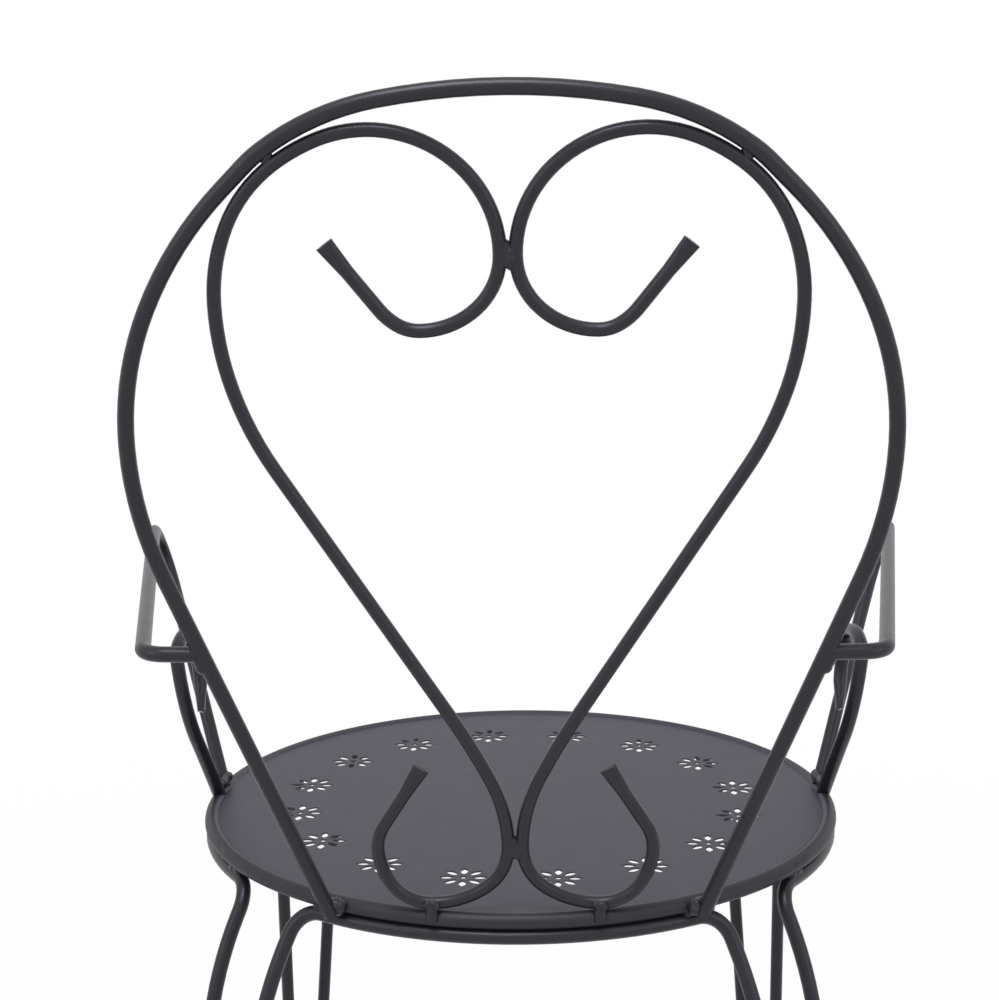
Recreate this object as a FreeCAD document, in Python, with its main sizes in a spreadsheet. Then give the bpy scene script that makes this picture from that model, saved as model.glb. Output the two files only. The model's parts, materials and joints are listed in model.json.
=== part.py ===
import FreeCAD, Part
import math
import os
from types import SimpleNamespace

import Sketcher
from FreeCAD import Placement, Rotation, Vector

# Garden armchair of bent round steel rod with a punched round seat.
# The chair faces -Y, its left side (as one sits) is +X, and the floor is Z = 0.
# The origin is on the floor, under the middle of the chair's length and width.
# Sizes named rise are measured up from the top of the seat's rolled edge.

SIZES = {
    # seat
    "seat_height": 450.0,
    "seat_radius": 200.0,
    "edge_roll": 9.4,
    "sheet": 0.9,
    "dish": 1.6,
    "edge_wire": 6.8,
    "daisy_circle": 140.2,
    "daisy_count": 16,
    "petal_count": 8,
    "petal_start": 5.2,
    "petal_length": 9.0,
    "petal_width": 4.4,
    "daisy_eye": 3.8,
    # rods and the gaps between them
    "frame_rod": 8.6,
    "heart_rod": 7.2,
    "fit_gap": 0.3,
    "kiss_gap": 0.5,
    "tie_gap": 0.7,
    # back hoop, in its own leaning plane
    "hoop_lean": 12.8,
    "hoop_rise": 456.6,
    "hoop_half_width": 194.8,
    "hoop_widest_rise": 274.2,
    "hoop_shoulder_out": 136.8,
    "hoop_shoulder_rise": 408.8,
    "hoop_tie_out": 117.6,
    "hoop_tie_rise": 426.9,
    "hoop_tie_slope": 36.3,
    "hoop_leg_slope": 20.4,
    "hoop_leg_rise": 198.3,
    "hoop_foot_half": 107.2,
    "hoop_foot_drop": 9.0,
    # heart, in a plane from the seat edge to the hoop's ties
    "heart_top_out": 67.0,
    "heart_crest": 16.4,
    "heart_half_width": 144.8,
    "heart_widest_rise": 348.0,
    "heart_kiss_rise": 372.0,
    "scroll_bottom_out": 44.2,
    "scroll_bottom_rise": 333.5,
    "scroll_end_out": 63.8,
    "scroll_end_rise": 344.5,
    "scroll_end_slope": 37.6,
    "scroll_tip": 42.0,
    "diagonal_top_out": 119.2,
    "diagonal_top_rise": 259.8,
    "diagonal_foot_out": 34.3,
    "diagonal_foot_rise": 120.5,
    "loop_kiss_rise": 39.5,
    "loop_bottom_out": 46.1,
    "loop_half_width": 75.0,
    "loop_widest_rise": 39.6,
    "loop_end_out": 63.5,
    "loop_end_rise": 66.0,
    "loop_end_slope": 31.0,
    "loop_tip": 26.0,
    "tip_length": 18.0,
    "tip_width": 9.6,
    "tip_thickness": 4.2,
    # arms
    "arm_rise": 151.5,
    "arm_front_rise": 157.0,
    "arm_corner_out": 197.0,
    "arm_corner_ahead": 1.6,
    "arm_front_out": 256.0,
    "arm_front": 156.0,
    "arm_post_out": 215.5,
    "arm_post": 62.0,
    "arm_post_rise": 66.0,
    "arm_foot_angle": 8.2,
    "arm_corner_bend": 14.0,
    "arm_front_bend": 26.0,
    "arm_post_bend": 195.0,
    "curl_foot_angle": 4.5,
    "curl_foot_slope": 123.0,
    "curl_turn": -5.0,
    "curl_lean": 6.2,
    "curl_reach": 50.8,
    "curl_width": 44.3,
    "curl_widest_rise": 103.0,
    "curl_top_rise": 116.5,
    "curl_tip_back": 43.0,
    "curl_tip_rise": 79.0,
    "curl_tip_slope": 114.0,
    # the punched seat and the leg arches stand turned a little against the back
    "frame_turn": -1.6,
    "arch_gap": 0.4,
    "arch_inset": 0.3,
    "arch_end_angle": 12.8,
    "arch_run": 18.9,
    "arch_bend": 18.0,
    "knee_out": 33.1,
    "knee_apart": 23.7,
    "knee_drop": 72.0,
    "knee_bend": 200.0,
    "foot_out": 52.6,
    "foot_gap": 0.3,
    # glides and welds
    "glide_radius": 11.5,
    "glide_height": 16.0,
    "glide_floor": 4.0,
    "glide_round": 1.5,
    "weld_radius": 6.0,
    "rim_weld_rise": 3.6,
    "kiss_weld_radius": 3.3,
    "kiss_weld_length": 13.0,
    "tie_radius": 2.6,
    "stub_radius": 3.6,
    "stub_back": 2.6,
    "arch_weld_radius": 5.0,
    "foot_weld_length": 16.0,
    "foot_weld_radius": 2.8,
}

os.makedirs("parts", exist_ok=True)
doc = FreeCAD.newDocument("garden_armchair")
sheet = doc.addObject("Spreadsheet::Sheet", "Sizes")
for row, (name, value) in enumerate(SIZES.items(), start=1):
    sheet.set(f"A{row}", name)
    sheet.set(f"B{row}", str(value))
    sheet.setAlias(f"B{row}", name)
doc.recompute()
size = SimpleNamespace(**{name: float(sheet.get(name)) for name in SIZES})

nodes = []


def keep(node, label):
    """Names a finished sub-part; its label is also its file name."""
    node.Label = label
    nodes.append(node)
    return node


def feature(label, shape, place=None, turn=0):
    """A sub-part whose shape is worked out here from the sheet's sizes; turn is in degrees."""
    node = doc.addObject("Part::Feature", label)
    node.Shape = shape
    node.Placement = Placement(place or Vector(), Rotation(UP, turn))
    return keep(node, label)


# Places

HALF_TURN = 180
WHOLE_TURN = 360
ROLL_RADIUS = size.edge_roll / 2
ROLL_CIRCLE = size.seat_radius - ROLL_RADIUS
SIDES = {"left": 1, "right": -1}
UP = Vector(0, 0, 1)

# The hoop's feet lie against the outside of the rolled edge, from which its legs lean away.
# Its top reaches furthest back.
LEAN = math.radians(size.hoop_lean)
LEG_SLOPE = math.radians(size.hoop_leg_slope)
FOOT_OUT = size.hoop_foot_half - ROLL_RADIUS * math.tan(LEG_SLOPE) / math.cos(LEAN)
foot_turn = math.asin(FOOT_OUT / size.seat_radius)
foot_lean = math.atan2(math.tan(LEG_SLOPE) * math.sin(foot_turn) + math.sin(LEAN) * math.cos(foot_turn),
                       math.cos(LEAN))
FOOT_REACH = ROLL_CIRCLE + (ROLL_RADIUS + size.frame_rod / 2 + size.fit_gap) / math.cos(foot_lean)
HOOP_BACK = math.sqrt(FOOT_REACH ** 2 - FOOT_OUT ** 2) + ROLL_RADIUS * math.tan(LEAN)
REAR = HOOP_BACK + size.hoop_rise * math.sin(LEAN) + size.frame_rod / 2
SEAT_MIDDLE = Vector(0, (size.seat_radius - REAR) / 2, size.seat_height)


def spot(side, out, ahead, rise):
    """A place beside the seat: out from the middle, ahead of it, and up from its edge."""
    return SEAT_MIDDLE + Vector(side * out, -ahead, rise)


class Plane:
    """A flat plane: places and slopes in it are along and up from its origin."""

    def __init__(self, origin, along, up):
        self.origin = origin
        self.along = along
        self.up = up
        self.normal = along.cross(up)

    def place(self, along, rise):
        return self.origin + self.along * along + self.up * rise

    def direction(self, slope, side=1):
        """A slope in degrees, anticlockwise from along; side -1 mirrors it."""
        angle = math.radians(slope)
        return self.along * (side * math.cos(angle)) + self.up * math.sin(angle)


def back_plane(back_at_edge, lean):
    """A plane that leans back from the seat's edge by an angle."""
    origin = SEAT_MIDDLE + Vector(0, back_at_edge, 0)
    return Plane(origin, Vector(1, 0, 0), Vector(0, math.sin(lean), math.cos(lean)))


# Paths

def arc_from(start, direction, end):
    """The arc that leaves start along direction and ends at end, or a line where it is straight."""
    chord = end - start
    sideways = direction - chord * (direction.dot(chord) / chord.dot(chord))
    if sideways.Length < 1e-6:
        return Part.LineSegment(start, end).toShape()
    turn = direction.getAngle(chord)
    sideways.normalize()
    middle = (start + end) / 2 + sideways * (chord.Length / 2 * math.tan(turn / 2))
    return Part.Arc(start, middle, end).toShape()


def smooth_path(stations):
    """Pairs of tangent arcs through stations, each a place and the direction there."""
    edges = []
    for (start, leaving), (end, arriving) in zip(stations, stations[1:]):
        gap = end - start
        spread = 2 * (1 - leaving.dot(arriving))
        along = gap.dot(leaving + arriving)
        if spread < 1e-9:
            reach = gap.dot(gap) / (2 * along)
        else:
            reach = (math.sqrt(along * along + spread * gap.dot(gap)) - along) / spread
        middle = (start + end + (leaving - arriving) * reach) / 2
        if (middle - start).cross(leaving).Length < 1e-6 and (end - start).cross(leaving).Length < 1e-6:
            edges.append(Part.LineSegment(start, end).toShape())
            continue
        first = arc_from(start, leaving, middle)
        last = arc_from(end, arriving * -1, middle)
        last.reverse()
        edges += [first, last]
    return edges


def bent_path(corners, radii):
    """Straight runs between corners, each corner rounded by its bend radius."""
    edges = []
    start = corners[0]
    for corner, following, radius in zip(corners[1:], corners[2:], radii):
        arriving = (corner - start).normalize()
        leaving = (following - corner).normalize()
        half_turn = arriving.getAngle(leaving) / 2
        trim = radius * math.tan(half_turn)
        inward = (leaving - arriving).normalize()
        middle = corner + inward * (radius / math.cos(half_turn) - radius)
        bend_start = corner - arriving * trim
        bend_end = corner + leaving * trim
        edges.append(Part.LineSegment(start, bend_start).toShape())
        edges.append(Part.Arc(bend_start, middle, bend_end).toShape())
        start = bend_end
    edges.append(Part.LineSegment(start, corners[-1]).toShape())
    return edges


def rod(edges, diameter):
    """A round rod along a path."""
    path = Part.Wire(edges)
    first = edges[0]
    start = first.valueAt(first.FirstParameter)
    direction = first.tangentAt(first.FirstParameter)
    section = Part.Wire(Part.makeCircle(diameter / 2, start, direction))
    return path.makePipeShell([section], True, False)


def hammered_tip(start, direction, flat_normal, length, diameter):
    """A rod end that is beaten wider and thinner; flat_normal is the thin way."""
    end = start + direction * length
    round_end = Part.Wire(Part.makeCircle(diameter / 2, start, direction))
    wide = direction.cross(flat_normal).normalize() * (size.tip_width / 2)
    thin = flat_normal * (size.tip_thickness / 2)
    outline = Part.Ellipse(end + wide, end + thin, end)
    return Part.makeLoft([round_end, Part.Wire(outline.toShape())], True, True)


# Back hoop

def back_hoop(plane, diameter):
    """The hoop, from one foot over the top to the other."""
    leg_top_out = size.hoop_foot_half + size.hoop_leg_rise * math.tan(LEG_SLOPE)
    foot_out = size.hoop_foot_half - size.hoop_foot_drop * math.tan(LEG_SLOPE)
    half = [
        (foot_out, -size.hoop_foot_drop, 90 - size.hoop_leg_slope),
        (leg_top_out, size.hoop_leg_rise, 90 - size.hoop_leg_slope),
        (size.hoop_half_width, size.hoop_widest_rise, 90),
        (size.hoop_shoulder_out, size.hoop_shoulder_rise, 135),
        (size.hoop_tie_out, size.hoop_tie_rise, HALF_TURN - size.hoop_tie_slope),
    ]
    stations = []
    for out, rise, slope in half:
        stations.append((plane.place(out, rise), plane.direction(slope)))
    stations.append((plane.place(0, size.hoop_rise), Vector(-1, 0, 0)))
    for out, rise, slope in reversed(half):
        stations.append((plane.place(-out, rise), plane.direction(-slope)))
    return rod(smooth_path(stations), diameter)


# Heart

KISS_OUT = (size.heart_rod + size.kiss_gap) / 2
LOOP_BOTTOM = size.heart_rod / 2 + size.tie_gap


def heart_tie():
    """Where a heart rod runs beside the hoop, out and up in the hoop's plane."""
    slope = math.radians(size.hoop_tie_slope)
    offset = (size.frame_rod + size.heart_rod) / 2 + size.tie_gap
    return size.hoop_tie_out - offset * math.sin(slope), size.hoop_tie_rise - offset * math.cos(slope)


def heart_plane(hoop):
    """The heart stands over the seat's rolled edge and meets the hoop's plane at the ties."""
    back_at_edge = math.sqrt(ROLL_CIRCLE ** 2 - size.loop_bottom_out ** 2)
    tie = hoop.place(*heart_tie()) - SEAT_MIDDLE
    return back_plane(back_at_edge, math.atan2(tie.y - back_at_edge, tie.z))


def heart_rod(side, plane, hoop):
    """One half of the heart, from its upper tip over and down to the loop above the seat."""
    tie_out, tie_rise = heart_tie()
    tie_rise = (hoop.place(tie_out, tie_rise) - plane.origin).dot(plane.up)
    diagonal = math.degrees(math.atan2(size.diagonal_top_rise - size.diagonal_foot_rise,
                                       size.diagonal_top_out - size.diagonal_foot_out))
    scroll_angle = math.radians(size.scroll_end_slope)
    scroll_run = size.scroll_tip - size.tip_length
    loop_angle = math.radians(size.loop_end_slope)
    loop_run = size.loop_tip - size.tip_length
    turns = [
        (size.scroll_end_out + scroll_run * math.sin(scroll_angle),
         size.scroll_end_rise + scroll_run * math.cos(scroll_angle), 270 - size.scroll_end_slope),
        (size.scroll_end_out, size.scroll_end_rise, 270 - size.scroll_end_slope),
        (size.scroll_bottom_out, size.scroll_bottom_rise, HALF_TURN),
        (KISS_OUT, size.heart_kiss_rise, 90),
        (size.heart_top_out, tie_rise + size.heart_crest, 0),
        (tie_out, tie_rise, -size.hoop_tie_slope),
        (size.heart_half_width, size.heart_widest_rise, -90),
        (size.diagonal_top_out, size.diagonal_top_rise, HALF_TURN + diagonal),
        (size.diagonal_foot_out, size.diagonal_foot_rise, HALF_TURN + diagonal),
        (KISS_OUT, size.loop_kiss_rise, 270),
        (size.loop_bottom_out, LOOP_BOTTOM, 0),
        (size.loop_half_width, size.loop_widest_rise, 90),
        (size.loop_end_out, size.loop_end_rise, 90 + size.loop_end_slope),
        (size.loop_end_out - loop_run * math.sin(loop_angle),
         size.loop_end_rise + loop_run * math.cos(loop_angle), 90 + size.loop_end_slope),
    ]
    stations = []
    for out, rise, slope in turns:
        stations.append((plane.place(side * out, rise), plane.direction(slope, side)))
    bent = rod(smooth_path(stations), size.heart_rod)
    first, last = stations[0], stations[-1]
    upper = hammered_tip(first[0], first[1] * -1, plane.normal, size.tip_length, size.heart_rod)
    lower = hammered_tip(last[0], last[1], plane.normal, size.tip_length, size.heart_rod)
    return bent.fuse([upper, lower])


# Arms

def on_roll(side, angle, rise):
    """A place over the middle of the seat's rolled edge, angle degrees ahead of its side."""
    turn = math.radians(angle)
    return spot(side, ROLL_CIRCLE * math.cos(turn), ROLL_CIRCLE * math.sin(turn), rise)


def arm_weld_place(side, hoop):
    """Where the arm meets the hoop's leg."""
    rise = size.arm_rise / hoop.up.z
    out = size.hoop_foot_half + rise * math.tan(LEG_SLOPE)
    return hoop.place(side * out, rise)


def arm(side, hoop):
    """The armrest, from the middle of the hoop's leg out, forward, round and down to the seat's edge."""
    start = arm_weld_place(side, hoop)
    corners = [
        start,
        Vector(side * size.arm_corner_out, start.y - size.arm_corner_ahead, start.z),
        spot(side, size.arm_front_out, size.arm_front, size.arm_front_rise),
        spot(side, size.arm_post_out, size.arm_post, size.arm_post_rise),
        on_roll(side, size.arm_foot_angle, -ROLL_RADIUS),
    ]
    bends = [size.arm_corner_bend, size.arm_front_bend, size.arm_post_bend]
    return rod(bent_path(corners, bends), size.frame_rod)


def arm_curl(side):
    """The scroll inside the arm, from the seat's edge up, back, over and down to its tip."""
    turn = math.radians(size.curl_turn)
    lean = math.radians(size.curl_lean)
    ahead = Vector(side * math.sin(turn), -math.cos(turn), 0)
    outward = Vector(side * math.cos(turn), math.sin(turn), 0)
    plane = Plane(on_roll(side, size.curl_foot_angle, -ROLL_RADIUS), ahead,
                  outward * math.sin(lean) + UP * math.cos(lean))
    turns = [
        (0, 0, size.curl_foot_slope),
        (-size.curl_reach, size.curl_widest_rise, 90),
        (size.curl_width / 2 - size.curl_reach, size.curl_top_rise, 0),
        (size.curl_width - size.curl_reach, size.curl_widest_rise, -90),
        (size.curl_tip_back - size.curl_reach, size.curl_tip_rise, -size.curl_tip_slope),
    ]
    stations = [(plane.place(along, rise), plane.direction(slope)) for along, rise, slope in turns]
    end, direction = stations[-1]
    tip = hammered_tip(end, direction, plane.normal, size.tip_length, size.frame_rod)
    return rod(smooth_path(stations), size.frame_rod).fuse(tip)


# Seat

def seat_pan():
    """A sheet disc with its edge rolled outward round a wire, punched with daisies."""
    plate_end = size.seat_radius - size.edge_roll + size.sheet
    plate = Part.makePolygon([
        Vector(0, 0, -size.dish), Vector(plate_end, 0, -size.dish),
        Vector(plate_end, 0, -size.dish - size.sheet), Vector(0, 0, -size.dish - size.sheet),
        Vector(0, 0, -size.dish)])
    roll_centre = Vector(ROLL_CIRCLE, 0, -ROLL_RADIUS)
    across = Vector(0, 1, 0)
    inner = ROLL_RADIUS - size.sheet
    roll = Part.Face(Part.Wire(Part.makeCircle(ROLL_RADIUS, roll_centre, across)))
    hollow = Part.Face(Part.Wire(Part.makeCircle(inner, roll_centre, across)))
    profile = Part.Face(plate).fuse(roll).removeSplitter().cut(hollow)
    return profile.revolve(Vector(), UP, WHOLE_TURN).Solids[0].cut(daisies())


PUNCH = 4 * size.sheet


def petal(turn):
    """The cutter of one leaf-shaped hole, pointed at both ends."""
    middle = size.petal_start + size.petal_length / 2
    start = Vector(size.petal_start, 0, 0)
    end = Vector(size.petal_start + size.petal_length, 0, 0)
    sides = [
        Part.Arc(start, Vector(middle, size.petal_width / 2, 0), end).toShape(),
        Part.Arc(end, Vector(middle, -size.petal_width / 2, 0), start).toShape(),
    ]
    hole = Part.Face(Part.Wire(sides)).extrude(UP * PUNCH)
    hole.rotate(Vector(), UP, turn)
    return hole


def daisies():
    """Holes for every daisy; all daisies are turned the same way."""
    count = int(size.daisy_count)
    petals = int(size.petal_count)
    holes = []
    for index in range(count):
        angle = math.tau * (index + 0.5) / count
        centre = Vector(size.daisy_circle * math.sin(angle), size.daisy_circle * math.cos(angle),
                        -size.dish - (size.sheet + PUNCH) / 2)
        cutters = [petal(WHOLE_TURN * number / petals) for number in range(petals)]
        cutters.append(Part.makeCylinder(size.daisy_eye / 2, PUNCH))
        for cutter in cutters:
            cutter.translate(centre)
            holes.append(cutter)
    return Part.makeCompound(holes)


# Leg arches

ARCH_CIRCLE = ROLL_CIRCLE - size.arch_inset
ARCH_RISE = -size.edge_roll - size.arch_gap - size.frame_rod / 2
FOOT_APART = (size.frame_rod + size.foot_gap) / 2
FOOT_END = size.glide_floor - size.seat_height
CORNER_TURN = 45


def leg_place(diagonal, out, apart, rise):
    """A place by the foot on a diagonal, in degrees: out from the middle, and apart from it."""
    along = math.radians(diagonal + size.frame_turn)
    outward = Vector(math.cos(along), math.sin(along), 0)
    aside = Vector(-math.sin(along), math.cos(along), 0)
    return SEAT_MIDDLE + outward * out + aside * apart + UP * rise


def leg_corners(diagonal, hand):
    """From the arch's curved top down to the foot; hand is the side of the diagonal."""
    turn = math.radians(size.arch_end_angle)
    end_out = ARCH_CIRCLE * math.cos(turn)
    end_apart = ARCH_CIRCLE * math.sin(turn)
    end = leg_place(diagonal, end_out, hand * end_apart, ARCH_RISE)
    shoulder = leg_place(diagonal, end_out + size.arch_run * math.sin(turn),
                         hand * (end_apart - size.arch_run * math.cos(turn)), ARCH_RISE)
    knee = leg_place(diagonal, ARCH_CIRCLE + size.knee_out, hand * size.knee_apart, -size.knee_drop)
    foot = leg_place(diagonal, ARCH_CIRCLE + size.foot_out, hand * FOOT_APART, FOOT_END)
    return [end, shoulder, knee, foot]


def leg_arch(middle):
    """A leg on each side of an arc that runs under the seat's edge, centred on middle degrees."""
    bends = [size.arch_bend, size.knee_bend]
    first = leg_corners(middle - CORNER_TURN, 1)
    last = leg_corners(middle + CORNER_TURN, -1)
    first_leg = bent_path(first, bends)
    last_leg = bent_path(last, bends)
    under_seat = Part.Arc(first[0], leg_place(middle, ARCH_CIRCLE, 0, ARCH_RISE), last[0]).toShape()
    up_first_leg = [edge.reversed() for edge in reversed(first_leg)]
    return rod(up_first_leg + [under_seat] + last_leg, size.frame_rod)


def glide(label, diagonal, arches):
    """A plastic cup over a foot, with holes for the two rod ends."""
    body = doc.addObject("PartDesign::Body", label + "_cup")
    plane = next(item for item in body.Origin.OriginFeatures if item.Role == "XY_Plane")
    sketch = body.newObject("Sketcher::SketchObject", label + "_outline")
    sketch.AttachmentSupport = [(plane, "")]
    sketch.MapMode = "FlatFace"
    sketch.addGeometry(Part.Circle(Vector(), UP, size.glide_radius), False)
    sketch.addConstraint(Sketcher.Constraint("Coincident", 0, 3, -1, 1))
    radius = sketch.addConstraint(Sketcher.Constraint("Radius", 0, size.glide_radius))
    sketch.setExpression(f"Constraints[{radius}]", "Sizes.glide_radius")
    pad = body.newObject("PartDesign::Pad", label + "_height")
    pad.Profile = sketch
    pad.setExpression("Length", "Sizes.glide_height")
    doc.recompute()
    rounded = body.newObject("PartDesign::Fillet", label + "_round")
    rounded.Base = (pad, [f"Edge{number}" for number, edge in enumerate(pad.Shape.Edges, start=1)
                          if len(edge.Vertexes) == 1])
    rounded.setExpression("Radius", "Sizes.glide_round")
    on_floor = leg_place(diagonal, ARCH_CIRCLE + size.foot_out, 0, -size.seat_height)
    body.Placement = Placement(on_floor, Rotation())
    doc.recompute()
    return trimmed(label, body, arches)


# Welds

def trimmed(label, body, tools):
    """A body with the room cut out of it for the pieces that it touches."""
    for number, tool in enumerate(tools, start=1):
        cut = doc.addObject("Part::Cut", f"{label}_cut_{number}")
        cut.Base = body
        cut.Tool = tool
        body = cut
    return keep(body, label)


def ball_weld(label, centre, radius_name, tools):
    """A round bead of weld."""
    ball = doc.addObject("Part::Sphere", label + "_ball")
    ball.setExpression("Radius", "Sizes." + radius_name)
    ball.Placement = Placement(centre, Rotation())
    return trimmed(label, ball, tools)


def bar_weld(label, centre, axis, radius_name, length, tools):
    """A straight run of weld."""
    bar = doc.addObject("Part::Cylinder", label + "_bar")
    bar.setExpression("Radius", "Sizes." + radius_name)
    bar.Height = length
    axis = Vector(axis).normalize()
    bar.Placement = Placement(centre - axis * (length / 2), Rotation(UP, axis))
    return trimmed(label, bar, tools)


# Assembly

hoop = back_plane(HOOP_BACK, LEAN)
heart = heart_plane(hoop)

pan = feature("seat_pan", seat_pan(), SEAT_MIDDLE, size.frame_turn)
edge_middle = Placement(SEAT_MIDDLE - UP * ROLL_RADIUS, Rotation())
wire = doc.addObject("Part::Torus", "edge_wire")
wire.setExpression("Radius1", "Sizes.seat_radius - Sizes.edge_roll / 2")
wire.setExpression("Radius2", "Sizes.edge_wire / 2")
wire.Placement = edge_middle
keep(wire, "seat_edge_wire")

# The whole of the rolled edge, which rods and welds that touch it are cut back from.
edge = doc.addObject("Part::Torus", "whole_edge")
edge.setExpression("Radius1", "Sizes.seat_radius - Sizes.edge_roll / 2")
edge.setExpression("Radius2", "Sizes.edge_roll / 2")
edge.Placement = edge_middle
sheet_room = Part.makeCylinder(ROLL_CIRCLE, size.sheet + 2 * size.fit_gap,
                               SEAT_MIDDLE - UP * (size.dish + size.sheet + size.fit_gap))
edge_room = Part.makeTorus(ROLL_CIRCLE, ROLL_RADIUS + size.fit_gap, edge_middle.Base).fuse(sheet_room)

hoop_node = feature("back_hoop", back_hoop(hoop, size.frame_rod))
hoop_room = back_hoop(hoop, size.frame_rod + 2 * size.fit_gap)
hearts = {name: feature(f"heart_rod_{name}", heart_rod(side, heart, hoop)) for name, side in SIDES.items()}

for name, rise in {"upper": size.heart_kiss_rise, "lower": size.loop_kiss_rise}.items():
    bar_weld(f"heart_weld_{name}", heart.place(0, rise), heart.up,
             "kiss_weld_radius", size.kiss_weld_length, list(hearts.values()))

arches = {}
for name, middle in {"left": 0, "back": 90, "right": 180, "front": 270}.items():
    arches[name] = feature(f"leg_arch_{name}", leg_arch(middle))

tie_out, tie_rise = heart_tie()
for name, side in SIDES.items():
    hoop_side = hoop.place(side * size.hoop_tie_out, size.hoop_tie_rise)
    heart_side = hoop.place(side * tie_out, tie_rise)
    across = hoop_side - heart_side
    bar_weld(f"hoop_tie_{name}", (hoop_side + heart_side) / 2, across,
             "tie_radius", across.Length, [hoop_node, hearts[name]])
    loop_bottom = heart.place(side * size.loop_bottom_out, LOOP_BOTTOM)
    behind_edge = loop_bottom + Vector(0, size.stub_back, -ROLL_RADIUS)
    bar_weld(f"heart_stub_{name}", behind_edge, UP,
             "stub_radius", 2 * ROLL_RADIUS, [edge, pan, hearts[name]])

for name, side in SIDES.items():
    post = feature(f"arm_{name}", arm(side, hoop).cut([edge_room, hoop_room]))
    curl = feature(f"arm_curl_{name}", arm_curl(side).cut(edge_room))
    beside_hoop = arm_weld_place(side, hoop) + Vector(side * size.frame_rod / 2, 0, 0)
    ball_weld(f"arm_weld_{name}", beside_hoop, "weld_radius", [hoop_node, post])
    for rod_name, angle in {"arm": size.arm_foot_angle, "curl": size.curl_foot_angle}.items():
        ball_weld(f"{rod_name}_foot_weld_{name}", on_roll(side, angle, size.rim_weld_rise),
                  "weld_radius", [edge, pan, post, curl])

LEGS = {
    "back_left": (45, "left", "back"),
    "back_right": (135, "back", "right"),
    "front_right": (225, "right", "front"),
    "front_left": (315, "front", "left"),
}
for corner, (diagonal, before, after) in LEGS.items():
    for name, hand in ((before, -1), (after, 1)):
        arch_end = leg_corners(diagonal, hand)[0]
        ball_weld(f"leg_weld_{corner}_{name}", arch_end + UP * ((size.frame_rod + size.arch_gap) / 2),
                  "arch_weld_radius", [edge, pan, arches[name], hoop_node])
    pair = [arches[before], arches[after]]
    ankle = leg_place(diagonal, ARCH_CIRCLE + size.foot_out, 0, FOOT_END + size.glide_height)
    knee = leg_place(diagonal, ARCH_CIRCLE + size.knee_out, 0, -size.knee_drop)
    axis = (knee - ankle).normalize()
    bar_weld(f"foot_weld_{corner}", ankle + axis * (size.foot_weld_length / 2), axis,
             "foot_weld_radius", size.foot_weld_length, pair)
    glide(f"foot_glide_{corner}", diagonal, pair)

for name, side in SIDES.items():
    foot = hoop.place(side * FOOT_OUT, -ROLL_RADIUS)
    inward = Vector(-foot.x, SEAT_MIDDLE.y - foot.y, 0).normalize()
    beside = next(node for node in nodes if node.Label == f"leg_weld_back_{name}_back")
    ball_weld(f"hoop_foot_weld_{name}", foot + inward * (size.frame_rod / 2), "weld_radius",
              [edge, pan, hoop_node, arches["back"], beside])

doc.recompute()

for item in doc.Objects:
    if {"Invalid", "Error"} & set(item.State):
        raise RuntimeError(f"{item.Label} did not build: {item.State}")
for node in nodes:
    if node.Shape.isNull() or not node.Shape.isValid() or not node.Shape.Solids:
        raise RuntimeError(f"{node.Label} has no valid solid")
for node in nodes:
    node.Shape.exportStep(f"parts/{node.Label}.step")
    print(f"{node.Label}: {len(node.Shape.Solids)} solid, {node.Shape.Volume:.0f} mm3")
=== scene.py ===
"""Looks for a garden armchair of bent steel rod with a round punched seat."""

import json
import math
from dataclasses import dataclass

import bpy
from bpy.props import FloatProperty, FloatVectorProperty, PointerProperty
from mathutils import Matrix, Vector, noise

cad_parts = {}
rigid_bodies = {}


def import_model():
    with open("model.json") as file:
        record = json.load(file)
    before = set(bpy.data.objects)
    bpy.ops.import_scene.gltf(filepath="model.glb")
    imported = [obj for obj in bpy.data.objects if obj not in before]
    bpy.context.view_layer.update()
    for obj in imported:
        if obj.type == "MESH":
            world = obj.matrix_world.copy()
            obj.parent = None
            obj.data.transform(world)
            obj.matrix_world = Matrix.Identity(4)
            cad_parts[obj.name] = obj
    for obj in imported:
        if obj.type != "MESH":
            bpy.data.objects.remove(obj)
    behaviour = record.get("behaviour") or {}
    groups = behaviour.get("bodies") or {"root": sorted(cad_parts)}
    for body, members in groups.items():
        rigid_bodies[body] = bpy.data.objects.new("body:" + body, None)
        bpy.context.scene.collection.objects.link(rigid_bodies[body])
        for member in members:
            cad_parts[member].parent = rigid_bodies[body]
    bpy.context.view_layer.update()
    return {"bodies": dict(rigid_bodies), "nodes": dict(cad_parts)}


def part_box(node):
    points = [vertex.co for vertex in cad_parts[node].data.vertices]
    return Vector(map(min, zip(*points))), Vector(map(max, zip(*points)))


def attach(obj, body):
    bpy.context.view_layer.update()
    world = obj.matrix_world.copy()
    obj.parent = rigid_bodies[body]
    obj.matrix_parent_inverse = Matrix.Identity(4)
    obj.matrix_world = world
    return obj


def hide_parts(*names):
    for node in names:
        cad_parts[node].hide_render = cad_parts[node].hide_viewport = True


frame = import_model()
BODY = next(iter(frame["bodies"]))

bl_info = {
    "name": "Rod Garden Armchair",
    "version": (1, 0, 0),
    "blender": (4, 5, 0),
    "location": "3D View > Sidebar > Armchair",
    "description": "Dresses a bent-rod garden armchair: powder coat, weld beads, glides and studio",
    "category": "Add Mesh",
}

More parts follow.
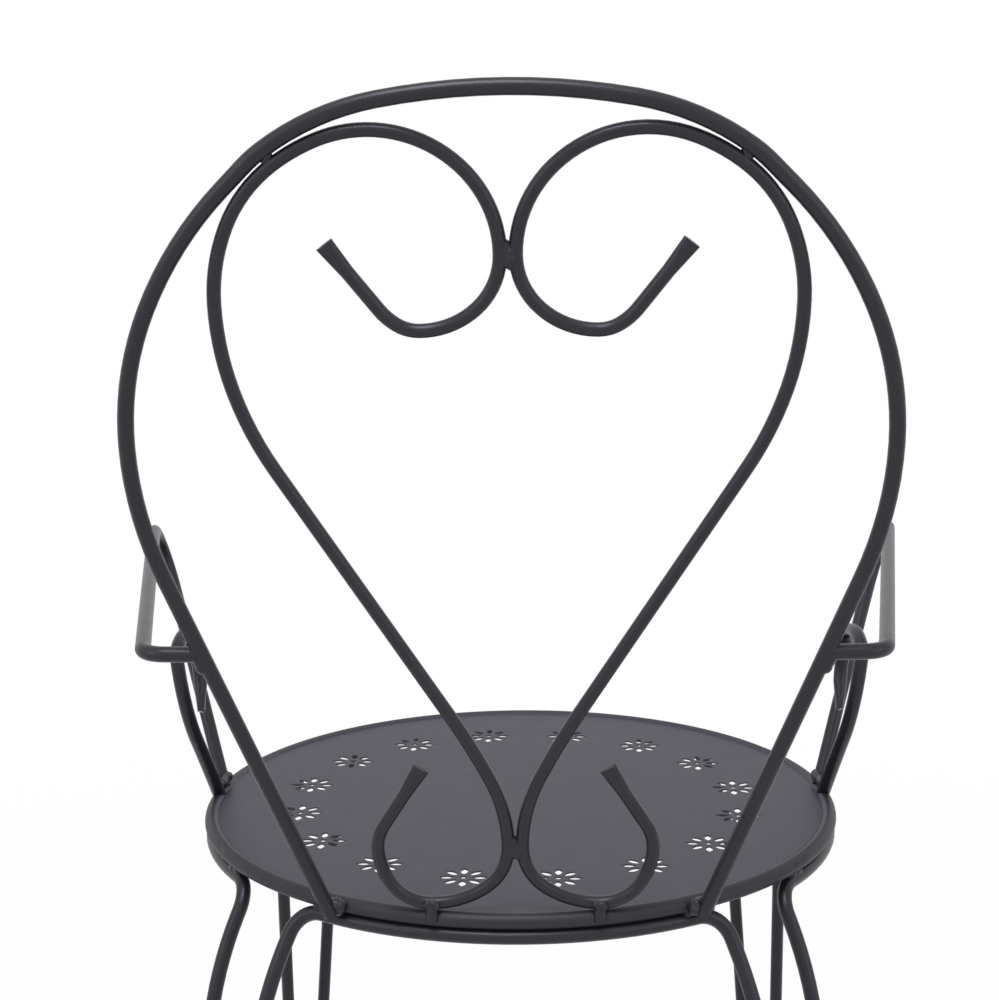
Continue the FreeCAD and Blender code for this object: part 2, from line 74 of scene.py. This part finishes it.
SIDES = ("left", "right")
CORNERS = ("back_left", "back_right", "front_right", "front_left")
RODS = (
    ["back_hoop"]
    + [f"heart_rod_{side}" for side in SIDES]
    + [f"leg_arch_{side}" for side in ("left", "back", "right", "front")]
    + [f"arm_{side}" for side in SIDES]
    + [f"arm_curl_{side}" for side in SIDES]
    + [f"heart_stub_{side}" for side in SIDES]
)
SEAT = ("seat_pan",)
WIRE = ("seat_edge_wire",)
GLIDES = [f"foot_glide_{corner}" for corner in CORNERS]
LEG_WELDS = sorted(name for name in frame["nodes"] if name.startswith("leg_weld_"))

# The coats. Lengths are in metres.
ROD_IOR = 1.38
SEAT_IOR = 1.42
PLAIN_IOR = 1.5
COAT_SHEEN = (0.93, 0.91, 1.0, 1)
TONE_SPREAD = 0.10
ROUGHNESS_SPREAD = 0.05
GRAIN_STRENGTH = 0.35
COAT_GRAIN_DEPTH = 0.00008
SOFT_EDGE_SAMPLES = 6
# From the seat's middle out to where the painted shade on the rolled edge begins.
RIM_SHADE_RADIUS = 0.1942
FINE_GRAIN = 0.0006
GLIDE_ROUGHNESS = 0.45
GLIDE_GRAIN_DEPTH = 0.00003
WIRE_ROUGHNESS = 0.35
WIRE_GRAIN_DEPTH = 0.00002

# The studio. Lengths are in metres, and a lamp is its name, place, size and power in watts.
FLOOR_GREY = 0.92
FLOOR_ROUGHNESS = 0.9
SHADOW_REACH = 0.6
SURROUND_LIGHT = 0.62
LAMPS = (
    ("overhead_lamp", (0.3, 1.3, 3.1), 1.3, 55),
    ("side_lamp_left", (2.6, 1.8, 1.8), 1.8, 18),
    ("side_lamp_right", (-2.6, 1.8, 1.6), 1.8, 14),
)
LAMP_TARGET = (0, 0, 0.5)
SENSOR_WIDTH_MM = 36
CLIP_START = 0.05
CLIP_END = 60


# Settings

class CoatSettings(bpy.types.PropertyGroup):
    """Colours of the powder coat and of the glides."""

    # On the seat's rolled edge this colour is laid as painted shade.
    coat: FloatVectorProperty(
        name="Powder coat",
        description="Colour of the powder coat on the rods, the welds and the seat's rolled edge",
        default=(0.0145, 0.0140, 0.0185), subtype="COLOR", size=3, min=0, max=1)
    coat_light: FloatVectorProperty(
        name="Rubbed coat", description="Colour of the coat where it is rubbed or thin",
        default=(0.050, 0.049, 0.055), subtype="COLOR", size=3, min=0, max=1)
    # The seat's colour is the powder coat made lighter and bluer: partly its own colour, partly
    # painted sheen that the flat sheet catches at a low angle.
    seat: FloatVectorProperty(
        name="Seat coat", description="Colour of the powder coat on the seat's sheet",
        default=(0.030, 0.028, 0.041), subtype="COLOR", size=3, min=0, max=1)
    glide: FloatVectorProperty(
        name="Glide plastic", description="Colour of the plastic glides under the feet",
        default=(0.012, 0.012, 0.013), subtype="COLOR", size=3, min=0, max=1)
    wire: FloatVectorProperty(
        name="Edge wire", description="Colour of the bare wire inside the seat's rolled edge",
        default=(0.45, 0.45, 0.46), subtype="COLOR", size=3, min=0, max=1)
    coat_grain: FloatProperty(
        name="Coat grain", description="Size of the powder coat's fine orange-peel grain",
        default=0.0009, unit="LENGTH", min=0.0001, max=0.01)
    coat_roughness: FloatProperty(
        name="Coat roughness", description="How matte the powder coat is",
        default=0.33, subtype="FACTOR", min=0, max=1)
    seat_roughness: FloatProperty(
        name="Seat roughness", description="How matte the powder coat on the seat's sheet is",
        default=0.50, subtype="FACTOR", min=0, max=1)
    edge_softness: FloatProperty(
        name="Edge softness", description="How far the coat rounds sharp edges and creases",
        default=0.0012, unit="LENGTH", min=0, max=0.01)
    bead_lumps: FloatProperty(
        name="Weld lumps", description="How far a weld bead's surface wavers in and out",
        default=0.0009, unit="LENGTH", min=0, max=0.01)


class StageSettings(bpy.types.PropertyGroup):
    """The camera and the studio round the chair."""

    camera_lens: FloatProperty(
        name="Lens", description="Focal length in millimetres on a 36 mm sensor",
        default=75.997, min=10, max=300)
    camera_distance: FloatProperty(
        name="Distance", description="From the seat's middle back to the camera, along the floor",
        default=1.291965, unit="LENGTH", min=0.1)
    camera_height: FloatProperty(
        name="Height", description="From the seat's edge up to the camera",
        default=0.439355, unit="LENGTH")
    camera_side: FloatProperty(
        name="Side step",
        description="From the seat's middle sideways to the camera, to the image's right",
        default=-0.011195, unit="LENGTH")
    camera_pitch: FloatProperty(
        name="Pitch", description="How far the camera looks down",
        default=math.radians(10.759), subtype="ANGLE", unit="ROTATION")
    camera_roll: FloatProperty(
        name="Roll", description="How far the camera leans",
        default=math.radians(-0.585), subtype="ANGLE", unit="ROTATION")
    chair_turn: FloatProperty(
        name="Turn", description="How far the chair is turned from square to the camera",
        default=math.radians(1.3), subtype="ANGLE", unit="ROTATION")
    seat_height: FloatProperty(
        name="Seat height",
        description="From the floor up to the seat's edge, for aiming the camera",
        default=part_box("seat_pan")[1][2], unit="LENGTH")
    floor_size: FloatProperty(
        name="Floor", description="Width of the studio floor",
        default=9.0, unit="LENGTH", min=1)
    floor_white: FloatProperty(
        name="Floor white",
        description="How much of the floor by the chair is plain white to the camera",
        default=0.86, subtype="FACTOR", min=0, max=1)


# Small helpers

def deselect_all():
    """Nothing stays selected, so that an operator acts only on what is picked next."""
    if bpy.context.object and bpy.context.object.mode != "OBJECT":
        bpy.ops.object.mode_set(mode="OBJECT")
    bpy.ops.object.select_all(action="DESELECT")


def pick(piece):
    """Selects one object and makes it active."""
    deselect_all()
    piece.select_set(True)
    bpy.context.view_layer.objects.active = piece


def place_in_mesh(piece):
    """Moves an object's place, turn and size into its mesh."""
    pick(piece)
    bpy.ops.object.transform_apply(location=True, rotation=True, scale=True)


def apply_modifier(piece, name, kind, **values):
    """Adds one modifier to the active object, sets its values and applies it."""
    modifier = piece.modifiers.new(name, kind)
    for key, value in values.items():
        setattr(modifier, key, value)
    bpy.ops.object.modifier_apply(modifier=modifier.name)


def middle_of(node):
    """The middle of a CAD node's box."""
    low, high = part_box(node)
    return (Vector(low) + Vector(high)) / 2


# Material building

def new_group(name, inputs, outputs):
    """An empty shader node group with named sockets."""
    group = bpy.data.node_groups.new(name, "ShaderNodeTree")
    for socket_name, kind, default in inputs:
        socket = group.interface.new_socket(name=socket_name, in_out="INPUT", socket_type=kind)
        socket.default_value = default
    for socket_name, kind in outputs:
        group.interface.new_socket(name=socket_name, in_out="OUTPUT", socket_type=kind)
    entry = group.nodes.new("NodeGroupInput")
    entry.location = (-1000, 0)
    end = group.nodes.new("NodeGroupOutput")
    end.location = (600, 0)
    return group, entry, end


def powder_grain_group():
    """Orange-peel height and slight tone changes of a powder coat, on Object coordinates."""
    group, entry, end = new_group(
        "Powder Grain",
        [("Grain Scale", "NodeSocketFloat", 1100.0), ("Mottle Scale", "NodeSocketFloat", 60.0)],
        [("Height", "NodeSocketFloat"), ("Mottle", "NodeSocketFloat")])
    nodes, links = group.nodes, group.links
    place = nodes.new("ShaderNodeTexCoord")
    place.location = (-1000, -250)
    grain = nodes.new("ShaderNodeTexNoise")
    grain.location = (-600, 200)
    grain.inputs["Detail"].default_value = 2.0
    grain.inputs["Roughness"].default_value = 0.5
    mottle = nodes.new("ShaderNodeTexNoise")
    mottle.location = (-600, -200)
    mottle.inputs["Detail"].default_value = 4.0
    mottle.inputs["Roughness"].default_value = 0.6
    links.new(place.outputs["Object"], grain.inputs["Vector"])
    links.new(place.outputs["Object"], mottle.inputs["Vector"])
    links.new(entry.outputs["Grain Scale"], grain.inputs["Scale"])
    links.new(entry.outputs["Mottle Scale"], mottle.inputs["Scale"])
    links.new(grain.outputs["Fac"], end.inputs["Height"])
    links.new(mottle.outputs["Fac"], end.inputs["Mottle"])
    return group


def scuff_group():
    """Small rubbed spots where the coat is worn, on Object coordinates."""
    group, entry, end = new_group(
        "Coat Scuffs",
        [("Scale", "NodeSocketFloat", 90.0), ("Threshold", "NodeSocketFloat", 0.72)],
        [("Mask", "NodeSocketFloat")])
    nodes, links = group.nodes, group.links
    place = nodes.new("ShaderNodeTexCoord")
    place.location = (-1000, -250)
    spots = nodes.new("ShaderNodeTexNoise")
    spots.location = (-600, 0)
    spots.inputs["Detail"].default_value = 5.0
    spots.inputs["Roughness"].default_value = 0.65
    above = nodes.new("ShaderNodeMapRange")
    above.location = (-200, 0)
    above.interpolation_type = "SMOOTHSTEP"
    above.inputs["From Max"].default_value = 0.82
    links.new(place.outputs["Object"], spots.inputs["Vector"])
    links.new(entry.outputs["Scale"], spots.inputs["Scale"])
    links.new(spots.outputs["Fac"], above.inputs["Value"])
    links.new(entry.outputs["Threshold"], above.inputs["From Min"])
    links.new(above.outputs["Result"], end.inputs["Mask"])
    return group


def rim_shade_group():
    """A mask that is 1 on the seat's rolled edge, where painted shade goes, by the distance from
    the seat's middle.
    """
    group, entry, end = new_group(
        "Rolled Edge Shade",
        [("Middle", "NodeSocketVector", (0.0, 0.0, 0.0)),
         ("Inner Radius", "NodeSocketFloat", 0.19)],
        [("Mask", "NodeSocketFloat")])
    nodes, links = group.nodes, group.links
    place = nodes.new("ShaderNodeTexCoord")
    place.location = (-1000, -250)
    from_middle = nodes.new("ShaderNodeVectorMath")
    from_middle.operation = "SUBTRACT"
    from_middle.location = (-700, 0)
    flat = nodes.new("ShaderNodeVectorMath")
    flat.operation = "MULTIPLY"
    flat.location = (-500, 0)
    flat.inputs[1].default_value = (1, 1, 0)
    reach = nodes.new("ShaderNodeVectorMath")
    reach.operation = "LENGTH"
    reach.location = (-300, 0)
    beyond = nodes.new("ShaderNodeMath")
    beyond.operation = "GREATER_THAN"
    beyond.location = (-100, 0)
    links.new(place.outputs["Object"], from_middle.inputs[0])
    links.new(entry.outputs["Middle"], from_middle.inputs[1])
    links.new(from_middle.outputs["Vector"], flat.inputs[0])
    links.new(flat.outputs["Vector"], reach.inputs[0])
    links.new(reach.outputs["Value"], beyond.inputs[0])
    links.new(entry.outputs["Inner Radius"], beyond.inputs[1])
    links.new(beyond.outputs["Value"], end.inputs["Mask"])
    return group


def paint_rim_shade(material, colour):
    """Paints shade on the seat's rolled edge: it gets the darker colour of the rods instead of the
    sheet's.
    """
    nodes, links = material.node_tree.nodes, material.node_tree.links
    shader = nodes["Principled BSDF"]
    rim = place_group(material, "Rolled Edge Shade", (-350, 450))
    rim.inputs["Middle"].default_value = middle_of("seat_pan")
    rim.inputs["Inner Radius"].default_value = RIM_SHADE_RADIUS
    shade_swap = nodes.new("ShaderNodeMix")
    shade_swap.data_type = "RGBA"
    shade_swap.location = (-150, 300)
    shade_swap.inputs["B"].default_value = (*colour, 1)
    links.new(rim.outputs["Mask"], shade_swap.inputs["Factor"])
    links.new(shader.inputs["Base Color"].links[0].from_socket, shade_swap.inputs["A"])
    links.new(shade_swap.outputs["Result"], shader.inputs["Base Color"])


def place_group(material, name, location):
    """One use of a shared shader group inside a material."""
    node = material.node_tree.nodes.new("ShaderNodeGroup")
    node.node_tree = bpy.data.node_groups[name]
    node.location = location
    return node


def coat_material(name, base, rubbed, roughness, grain_size, grain_depth, softness, ior=PLAIN_IOR):
    """Powder coat: fine orange peel, faint mottling, rubbed spots and softly filled edges."""
    material = bpy.data.materials.new(name)
    material.use_nodes = True
    nodes, links = material.node_tree.nodes, material.node_tree.links
    shader = nodes["Principled BSDF"]
    shader.inputs["IOR"].default_value = ior
    shader.inputs["Specular Tint"].default_value = COAT_SHEEN
    grain = place_group(material, "Powder Grain", (-900, -200))
    grain.inputs["Grain Scale"].default_value = 1 / grain_size
    scuffs = place_group(material, "Coat Scuffs", (-900, 200))
    tone = nodes.new("ShaderNodeMix")
    tone.data_type = "RGBA"
    tone.location = (-600, 200)
    tone.inputs["A"].default_value = (*[(1 - TONE_SPREAD) * value for value in base], 1)
    tone.inputs["B"].default_value = (*[(1 + TONE_SPREAD) * value for value in base], 1)
    worn = nodes.new("ShaderNodeMix")
    worn.data_type = "RGBA"
    worn.location = (-350, 200)
    worn.inputs["B"].default_value = (*rubbed, 1)
    rough = nodes.new("ShaderNodeMapRange")
    rough.location = (-350, -50)
    rough.inputs["To Min"].default_value = roughness - ROUGHNESS_SPREAD
    rough.inputs["To Max"].default_value = roughness + ROUGHNESS_SPREAD
    bump = nodes.new("ShaderNodeBump")
    bump.location = (-350, -300)
    bump.inputs["Strength"].default_value = GRAIN_STRENGTH
    bump.inputs["Distance"].default_value = grain_depth
    soft_edge = nodes.new("ShaderNodeBevel")
    soft_edge.location = (-600, -450)
    soft_edge.samples = SOFT_EDGE_SAMPLES
    soft_edge.inputs["Radius"].default_value = softness
    links.new(soft_edge.outputs["Normal"], bump.inputs["Normal"])
    links.new(grain.outputs["Mottle"], tone.inputs["Factor"])
    links.new(tone.outputs["Result"], worn.inputs["A"])
    links.new(scuffs.outputs["Mask"], worn.inputs["Factor"])
    links.new(worn.outputs["Result"], shader.inputs["Base Color"])
    links.new(grain.outputs["Mottle"], rough.inputs["Value"])
    links.new(rough.outputs["Result"], shader.inputs["Roughness"])
    links.new(grain.outputs["Height"], bump.inputs["Height"])
    links.new(bump.outputs["Normal"], shader.inputs["Normal"])
    return material


def seen_by_eye(nodes, links):
    """An output that is 1 for rays from the camera, gloss or glass, and 0 for all others."""
    path = nodes.new("ShaderNodeLightPath")
    path.location = (-600, 500)
    total = path.outputs["Is Camera Ray"]
    for name, place in (("Is Glossy Ray", -400), ("Is Transmission Ray", -200)):
        either = nodes.new("ShaderNodeMath")
        either.operation = "MAXIMUM"
        either.location = (place, 500)
        links.new(total, either.inputs[0])
        links.new(path.outputs[name], either.inputs[1])
        total = either.outputs["Value"]
    return total


def dress(names, material):
    """Gives every material slot of the named CAD nodes one material."""
    for name in names:
        node = frame["nodes"][name]
        if not node.material_slots:
            node.data.materials.append(material)
        for slot in node.material_slots:
            slot.material = material


# Welds

UP = Vector((0, 0, 1))
ACROSS = Vector((1, 0, 0))
NOWHERE = Vector((0, 0, 0))

# The way up along the hoop's leg on the sitter's left.
HOOP_LEG = (0.349, 0.208, 0.914)

# Lengths are in metres. The waver and the growth are shares of a droplet's radius.
STUB_SETBACK = 0.0022
DROPLET_SUBDIVISIONS = 3
DROPLET_WAVER = 0.12
DROPLET_GROWTH = 0.08
BEAD_VOXEL = 0.0005
BEAD_SMOOTHING = 3
LUMP_SIZE = 0.0035
LUMP_DETAIL = 2


@dataclass
class Weld:
    """One weld bead, as a row of droplets that melt together.

    The run from first to last is given from the middle of the node. Droplets stand by turns to
    either side of it, by half of spread, and lumps is a share of the usual lumps. The bead
    replaces its node, unless keeps_node is set.
    """

    node: str
    first: Vector
    last: Vector
    spread: Vector
    droplets: int
    radius: float
    lumps: float
    keeps_node: bool = False


def stub_top(node):
    """From the middle of a stub up to the rod that stands on it, a little behind."""
    low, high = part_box(node)
    return Vector((0, STUB_SETBACK, (high[2] - low[2]) / 2))


def along_rim(node):
    """The way round the seat's edge at a node."""
    from_middle = middle_of(node) - middle_of("seat_pan")
    return Vector((-from_middle.y, from_middle.x, 0)).normalized()


def weld_list():
    """Every weld of the chair, in the order in which the beads are laid."""
    welds = [
        Weld("heart_weld_upper", -0.0042 * UP, 0.0042 * UP, 0.0030 * ACROSS,
             droplets=8, radius=0.0036, lumps=0.3),
        Weld("heart_weld_lower", -0.0036 * UP, 0.0040 * UP, 0.0030 * ACROSS,
             droplets=8, radius=0.0037, lumps=0.6),
    ]
    for side, hand in zip(SIDES, (1, -1)):
        leg = Vector((hand * HOOP_LEG[0], HOOP_LEG[1], HOOP_LEG[2]))
        inward = -0.0022 * hand * ACROSS
        top = stub_top(f"heart_stub_{side}")
        welds += [
            Weld(f"hoop_tie_{side}", -0.001 * UP, 0.001 * UP, NOWHERE,
                 droplets=3, radius=0.0029, lumps=0.7),
            Weld(f"arm_weld_{side}", inward - 0.0085 * leg, inward + 0.0020 * leg, NOWHERE,
                 droplets=9, radius=0.0042, lumps=0.15),
            Weld(f"heart_stub_{side}", top - 0.0022 * ACROSS, top + 0.0022 * ACROSS, 0.0012 * UP,
                 droplets=4, radius=0.0024, lumps=1.2, keeps_node=True),
        ]
        for node in (f"arm_foot_weld_{side}", f"curl_foot_weld_{side}"):
            reach = 0.004 * along_rim(node)
            welds.append(Weld(node, -reach, reach, NOWHERE, droplets=5, radius=0.0036, lumps=1.0))
        node = f"hoop_foot_weld_{side}"
        reach = 0.005 * along_rim(node)
        welds.append(Weld(node, -reach, reach, 0.0020 * UP, droplets=8, radius=0.0041, lumps=1.6))
    for corner in CORNERS:
        welds.append(Weld(f"foot_weld_{corner}", -0.00725 * UP, 0.00725 * UP, NOWHERE,
                          droplets=6, radius=0.0027, lumps=1.0))
    for node in LEG_WELDS:
        reach = 0.004 * along_rim(node)
        welds.append(Weld(node, -reach, reach, NOWHERE, droplets=4, radius=0.0036, lumps=0.8))
    return welds


# Operators: the chair

class ARMCHAIR_OT_frame_coat(bpy.types.Operator):
    """Gives the rods and the seat their matte powder coat, with painted sheen on the seat's sheet
    and painted shade on its rolled edge
    """

    bl_idname = "armchair.frame_coat"
    bl_label = "Coat the Frame"

    def execute(self, context):
        finish = context.scene.armchair_coat
        powder_grain_group()
        scuff_group()
        rim_shade_group()
        coat = coat_material("Powder Coat", finish.coat, finish.coat_light, finish.coat_roughness,
                             finish.coat_grain, COAT_GRAIN_DEPTH, finish.edge_softness, ROD_IOR)
        dress(RODS, coat)
        # The sheet's lighter colour is partly painted sheen.
        sheet = coat_material("Seat Coat With Painted Sheen", finish.seat, finish.seat, finish.seat_roughness,
                              finish.coat_grain, COAT_GRAIN_DEPTH / 2, finish.edge_softness,
                              SEAT_IOR)
        # Painted shade: the seat's rolled edge takes the rods' darker coat colour.
        paint_rim_shade(sheet, finish.coat)
        dress(SEAT, sheet)
        return {"FINISHED"}


class ARMCHAIR_OT_weld_beads(bpy.types.Operator):
    """Lays a lumpy bead of merged droplets over every weld between the rods"""

    bl_idname = "armchair.weld_beads"
    bl_label = "Lay the Weld Beads"

    def execute(self, context):
        finish = context.scene.armchair_coat
        coat = bpy.data.materials["Powder Coat"]
        lumps = bpy.data.textures.new("weld_lumps", "CLOUDS")
        lumps.noise_scale = LUMP_SIZE
        lumps.noise_depth = LUMP_DETAIL
        for number, weld in enumerate(weld_list()):
            bead = self.droplets(weld, number)
            self.melt(bead, lumps, finish.bead_lumps * weld.lumps)
            bead.data.materials.append(coat)
            if not weld.keeps_node:
                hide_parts(weld.node)
            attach(bead, BODY)
        return {"FINISHED"}

    def droplets(self, weld, number):
        """A row of overlapping droplets along the weld's run, each a little out of line."""
        middle = middle_of(weld.node)
        noise.seed_set(number + 1)
        deselect_all()
        for index in range(weld.droplets):
            along = weld.first.lerp(weld.last, index / (weld.droplets - 1))
            beside = weld.spread * (0.5 if index % 2 else -0.5)
            waver = noise.random_unit_vector() * (weld.radius * DROPLET_WAVER)
            growth = 1 + DROPLET_GROWTH * noise.random_unit_vector().x
            bpy.ops.mesh.primitive_ico_sphere_add(
                subdivisions=DROPLET_SUBDIVISIONS, radius=weld.radius * growth,
                location=middle + along + beside + waver)
            if index == 0:
                bead = bpy.context.object
                bead.name = "bead_" + weld.node
                bpy.ops.object.mode_set(mode="EDIT")
        bpy.ops.object.mode_set(mode="OBJECT")
        place_in_mesh(bead)
        return bead

    def melt(self, bead, lumps, depth):
        """Melts the droplets into one closed bead with an uneven skin."""
        pick(bead)
        apply_modifier(bead, "melted", "REMESH", mode="VOXEL", voxel_size=BEAD_VOXEL)
        apply_modifier(bead, "settled", "SMOOTH", iterations=BEAD_SMOOTHING)
        apply_modifier(bead, "uneven", "DISPLACE", texture=lumps, strength=depth)
        bpy.ops.object.shade_smooth()


class ARMCHAIR_OT_glides(bpy.types.Operator):
    """Gives the foot glides their plastic and the seat's hidden edge wire its steel"""

    bl_idname = "armchair.glides"
    bl_label = "Finish the Glides"

    def execute(self, context):
        finish = context.scene.armchair_coat
        plastic = coat_material("Glide Plastic", finish.glide, finish.coat, GLIDE_ROUGHNESS,
                                FINE_GRAIN, GLIDE_GRAIN_DEPTH, finish.edge_softness)
        dress(GLIDES, plastic)
        steel = coat_material("Edge Wire Steel", finish.wire, finish.wire, WIRE_ROUGHNESS,
                              FINE_GRAIN, WIRE_GRAIN_DEPTH, finish.edge_softness)
        steel.node_tree.nodes["Principled BSDF"].inputs["Metallic"].default_value = 1.0
        dress(WIRE, steel)
        return {"FINISHED"}


# Operator: the studio

class ARMCHAIR_OT_studio(bpy.types.Operator):
    """Builds the pale floor, the soft lights, the white surround and the camera"""

    bl_idname = "armchair.studio"
    bl_label = "Build the Studio"

    def execute(self, context):
        stage = context.scene.armchair_stage
        self.floor(stage)
        self.surround(context)
        self.lamps()
        self.camera(context, stage)
        context.scene.view_settings.view_transform = "Standard"
        return {"FINISHED"}

    def floor(self, stage):
        """A pale floor that camera, gloss and glass see as nearly white, and white far off."""
        deselect_all()
        bpy.ops.mesh.primitive_plane_add(size=stage.floor_size, location=(0, 0, 0))
        floor = bpy.context.object
        floor.name = "studio_floor"
        material = bpy.data.materials.new("Studio Floor")
        material.use_nodes = True
        nodes, links = material.node_tree.nodes, material.node_tree.links
        shader = nodes["Principled BSDF"]
        shader.inputs["Base Color"].default_value = (FLOOR_GREY, FLOOR_GREY, FLOOR_GREY, 1)
        shader.inputs["Roughness"].default_value = FLOOR_ROUGHNESS
        shader.inputs["Specular IOR Level"].default_value = 0.0
        white = nodes.new("ShaderNodeEmission")
        white.location = (0, -500)
        white.inputs["Strength"].default_value = 1.0
        place = nodes.new("ShaderNodeTexCoord")
        place.location = (-900, 200)
        reach = nodes.new("ShaderNodeVectorMath")
        reach.operation = "LENGTH"
        reach.location = (-700, 200)
        whiter = nodes.new("ShaderNodeMapRange")
        whiter.interpolation_type = "SMOOTHSTEP"
        whiter.location = (-500, 200)
        whiter.inputs["From Min"].default_value = SHADOW_REACH
        whiter.inputs["From Max"].default_value = 3 * SHADOW_REACH
        whiter.inputs["To Min"].default_value = stage.floor_white
        whiter.inputs["To Max"].default_value = 1.0
        share = nodes.new("ShaderNodeMath")
        share.operation = "MULTIPLY"
        share.location = (0, 500)
        links.new(place.outputs["Object"], reach.inputs[0])
        links.new(reach.outputs["Value"], whiter.inputs["Value"])
        links.new(whiter.outputs["Result"], share.inputs[1])
        mix = nodes.new("ShaderNodeMixShader")
        mix.location = (300, 200)
        links.new(seen_by_eye(nodes, links), share.inputs[0])
        links.new(share.outputs["Value"], mix.inputs["Fac"])
        links.new(shader.outputs["BSDF"], mix.inputs[1])
        links.new(white.outputs["Emission"], mix.inputs[2])
        links.new(mix.outputs["Shader"], nodes["Material Output"].inputs["Surface"])
        floor.data.materials.append(material)

    def surround(self, context):
        """A world that is white to the camera and soft grey as a light."""
        world = bpy.data.worlds.new("Studio Surround")
        context.scene.world = world
        world.use_nodes = True
        nodes, links = world.node_tree.nodes, world.node_tree.links
        nodes.clear()
        out = nodes.new("ShaderNodeOutputWorld")
        out.location = (400, 0)
        mix = nodes.new("ShaderNodeMixShader")
        mix.location = (200, 0)
        soft = nodes.new("ShaderNodeBackground")
        soft.location = (0, 100)
        soft.inputs["Color"].default_value = (1, 1, 1, 1)
        soft.inputs["Strength"].default_value = SURROUND_LIGHT
        white = nodes.new("ShaderNodeBackground")
        white.location = (0, -100)
        white.inputs["Color"].default_value = (1, 1, 1, 1)
        white.inputs["Strength"].default_value = 1.0
        links.new(seen_by_eye(nodes, links), mix.inputs["Fac"])
        links.new(soft.outputs["Background"], mix.inputs[1])
        links.new(white.outputs["Background"], mix.inputs[2])
        links.new(mix.outputs["Shader"], out.inputs["Surface"])

    def lamps(self):
        """One broad soft lamp above and one on each side."""
        for name, place, size, power in LAMPS:
            lamp = bpy.data.objects.new(name, bpy.data.lights.new(name, "AREA"))
            bpy.context.scene.collection.objects.link(lamp)
            lamp.data.size = size
            lamp.data.energy = power
            lamp.location = place
            aim = Vector(LAMP_TARGET) - lamp.location
            lamp.rotation_euler = aim.to_track_quat("-Z", "Y").to_euler()

    def camera(self, context, stage):
        """The photograph's view, from behind and a little above the seat."""
        turn = stage.chair_turn
        right = Vector((-math.cos(turn), -math.sin(turn), 0))
        away = Vector((math.sin(turn), -math.cos(turn), 0))
        low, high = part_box("seat_pan")
        seat_middle = Vector(((low[0] + high[0]) / 2, (low[1] + high[1]) / 2, stage.seat_height))
        place = (seat_middle + right * stage.camera_side - away * stage.camera_distance
                 + UP * stage.camera_height)
        look = away * math.cos(stage.camera_pitch) - UP * math.sin(stage.camera_pitch)
        level_up = away * math.sin(stage.camera_pitch) + UP * math.cos(stage.camera_pitch)
        roll_cos, roll_sin = math.cos(stage.camera_roll), math.sin(stage.camera_roll)
        image_right = right * roll_cos + level_up * roll_sin
        image_up = level_up * roll_cos - right * roll_sin
        camera = bpy.data.objects.new("photo_camera", bpy.data.cameras.new("photo_camera"))
        context.scene.collection.objects.link(camera)
        axes = Matrix((image_right, image_up, -look)).transposed()
        camera.matrix_world = Matrix.Translation(place) @ axes.to_4x4()
        camera.data.sensor_width = SENSOR_WIDTH_MM
        camera.data.lens = stage.camera_lens
        camera.data.clip_start = CLIP_START
        camera.data.clip_end = CLIP_END
        context.scene.camera = camera


# Panel and registration

PIECES = (
    ARMCHAIR_OT_frame_coat,
    ARMCHAIR_OT_weld_beads,
    ARMCHAIR_OT_glides,
    ARMCHAIR_OT_studio,
)


class ARMCHAIR_PT_panel(bpy.types.Panel):
    """Lists the armchair's pieces and its studio"""

    bl_idname = "ARMCHAIR_PT_panel"
    bl_label = "Rod Armchair"
    bl_space_type = "VIEW_3D"
    bl_region_type = "UI"
    bl_category = "Armchair"

    def draw(self, context):
        layout = self.layout
        for settings in (context.scene.armchair_coat, context.scene.armchair_stage):
            column = layout.column(align=True)
            for name in settings.__annotations__:
                column.prop(settings, name)
        column = layout.column(align=True)
        for piece in PIECES:
            column.operator(piece.bl_idname)


CLASSES = (CoatSettings, StageSettings) + PIECES + (ARMCHAIR_PT_panel,)


def register():
    """Makes the settings, the operators and the panel known to Blender."""
    for cls in CLASSES:
        bpy.utils.register_class(cls)
    bpy.types.Scene.armchair_coat = PointerProperty(type=CoatSettings)
    bpy.types.Scene.armchair_stage = PointerProperty(type=StageSettings)


def unregister():
    """Takes back what register does, in the opposite order."""
    del bpy.types.Scene.armchair_stage
    del bpy.types.Scene.armchair_coat
    for cls in reversed(CLASSES):
        bpy.utils.unregister_class(cls)


def main():
    """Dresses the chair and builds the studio."""
    register()
    bpy.ops.armchair.frame_coat()
    bpy.ops.armchair.weld_beads()
    bpy.ops.armchair.glides()
    bpy.ops.armchair.studio()


if __name__ == "__main__":
    main()
